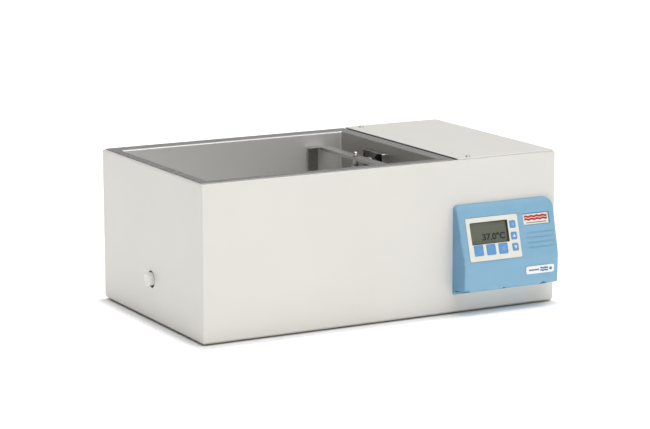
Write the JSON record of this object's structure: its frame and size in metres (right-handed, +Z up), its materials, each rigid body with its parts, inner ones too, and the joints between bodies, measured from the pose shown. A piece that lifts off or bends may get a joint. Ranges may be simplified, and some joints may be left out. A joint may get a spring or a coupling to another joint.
{
  "type": "shaking water bath",
  "caption": "Bench-top shaking water bath: stainless tank in a painted casing, crank-driven perforated tray under a yoke, flat cover and a wedge-shaped controller with display and keys.",
  "frame": {"origin": "middle of the underside of the bounding box, on the surface that the four feet stand on", "axes": "+X to the user's right along the casing's length, +Y from the front to the rear, +Z up; the controller faces -Y"},
  "size_m": [0.6184, 0.402, 0.2444],
  "materials": {
    "paint": "fine-textured light grey-white powder coat, semi-matt",
    "stainless": "satin brushed stainless steel",
    "zinc_plate": "zinc-plated sheet steel, dull",
    "black_plastic": "black moulded nylon, matt",
    "black_rubber": "black rubber",
    "cream_plastic": "off-white moulded plastic, satin",
    "white_acetal": "white acetal, satin",
    "insulation": "pale mineral-fibre blanket",
    "heater_silicone": "orange-red silicone rubber heater mat",
    "motor_metal": "grey enamelled metal",
    "circuit_board": "green circuit board",
    "blue_shell": "light blue moulded plastic, satin with a fine grain",
    "blue_key": "mid-blue rubber key, satin",
    "white_panel": "off-white printed panel, semi-gloss",
    "lcd_glass": "grey-green liquid crystal display",
    "clear_pane": "clear acrylic pane"
  },
  "bodies": {
    "bath": {"outer_casing": "paint", "top_cover": "paint", "base_pan": "zinc_plate", "cross_rail": "zinc_plate", "foot_front_left": "black_rubber", "foot_front_right": "black_rubber", "foot_rear_left": "black_rubber", "foot_rear_right": "black_rubber", "cover_screw_front": "stainless", "cover_screw_rear": "stainless", "tank": "stainless", "tank_insulation": "insulation", "heater_pad": "heater_silicone", "limit_thermostat": "black_plastic", "temperature_probe": "stainless", "drain_elbow": "white_acetal", "drain_elbow_nut": "white_acetal", "gland_guard": "stainless", "gland_bush": "black_plastic", "gland_nut": "black_plastic", "drive_bracket": "zinc_plate", "rod_bearing": "white_acetal", "gearbox": "motor_metal", "drive_motor": "motor_metal", "power_board": "circuit_board", "transformer": "motor_metal", "heater_relay": "black_plastic", "mains_inlet": "black_plastic", "mains_switch_body": "black_plastic", "fuse_holder": "black_plastic", "controller_housing": "blue_shell", "controller_backplate": "black_plastic", "keypad_bezel": "white_panel", "lcd_window": "clear_pane", "lcd_module": "lcd_glass", "control_board": "circuit_board", "badge_plate": "white_panel", "name_label": "white_panel"},
    "shaking_carriage": {"drive_rod": "stainless", "slot_plate": "zinc_plate", "drive_arm": "stainless", "yoke": "stainless", "yoke_stud": "stainless", "stud_spacer": "stainless", "acorn_nut": "stainless", "stud_lock_nut": "stainless", "shaker_tray": "stainless", "tray_glide_front": "white_acetal", "tray_glide_rear": "white_acetal"},
    "crank": {"crank_disc": "zinc_plate", "crank_pin": "zinc_plate"},
    "drain_seal": {"drain_plug": "black_rubber"},
    "drain_screw_cap": {"drain_cap": "cream_plastic"},
    "power_rocker": {"mains_rocker": "black_plastic"},
    "key_left_button": {"key_left": "blue_key"},
    "key_middle_button": {"key_middle": "blue_key"},
    "key_right_button": {"key_right": "blue_key"},
    "key_menu_button": {"key_menu": "blue_key"},
    "key_up_button": {"key_up": "blue_key"},
    "key_down_button": {"key_down": "blue_key"}
  },
  "joints": [
    {"name": "carriage_slide", "type": "slide", "parent": "bath", "child": "shaking_carriage", "axis": [1, 0, 0], "range_m": [-0.0127, 0.0127]},
    {"name": "crank_turn", "type": "hinge", "parent": "bath", "child": "crank", "pos_m": [0.1992, 0.03805, 0.2103], "axis": [0, 0, 1], "range_deg": [-90, 90]},
    {"name": "drain_seal_out", "type": "slide", "parent": "bath", "child": "drain_seal", "axis": [-1, 0, 0], "range_m": [0, 0.012]},
    {"name": "drain_cap_turn", "type": "hinge", "parent": "drain_seal", "child": "drain_screw_cap", "pos_m": [-0.3048, 0.01205, 0.066], "axis": [-1, 0, 0], "range_deg": [0, 1440]},
    {"name": "power_rocker_tilt", "type": "hinge", "parent": "bath", "child": "power_rocker", "pos_m": [0.2112, 0.18905, 0.051], "axis": [-1, 0, 0], "range_deg": [0, 14]},
    {"name": "key_left_press", "type": "slide", "parent": "bath", "child": "key_left_button", "axis": [0, 0.9613, -0.2756], "range_m": [0, 0.0006], "stiffness_N_per_m": 400},
    {"name": "key_middle_press", "type": "slide", "parent": "bath", "child": "key_middle_button", "axis": [0, 0.9613, -0.2756], "range_m": [0, 0.0006], "stiffness_N_per_m": 400},
    {"name": "key_right_press", "type": "slide", "parent": "bath", "child": "key_right_button", "axis": [0, 0.9613, -0.2756], "range_m": [0, 0.0006], "stiffness_N_per_m": 400},
    {"name": "key_menu_press", "type": "slide", "parent": "bath", "child": "key_menu_button", "axis": [0, 0.9613, -0.2756], "range_m": [0, 0.0006], "stiffness_N_per_m": 400},
    {"name": "key_up_press", "type": "slide", "parent": "bath", "child": "key_up_button", "axis": [0, 0.9613, -0.2756], "range_m": [0, 0.0006], "stiffness_N_per_m": 400},
    {"name": "key_down_press", "type": "slide", "parent": "bath", "child": "key_down_button", "axis": [0, 0.9613, -0.2756], "range_m": [0, 0.0006], "stiffness_N_per_m": 400}
  ],
  "couplings": [
    {"joint": "crank_turn", "follows": "carriage_slide", "rad_per_m": 123.6},
    {"joint": "drain_seal_out", "follows": "drain_cap_turn", "m_per_rad": 0.00047746}
  ]
}
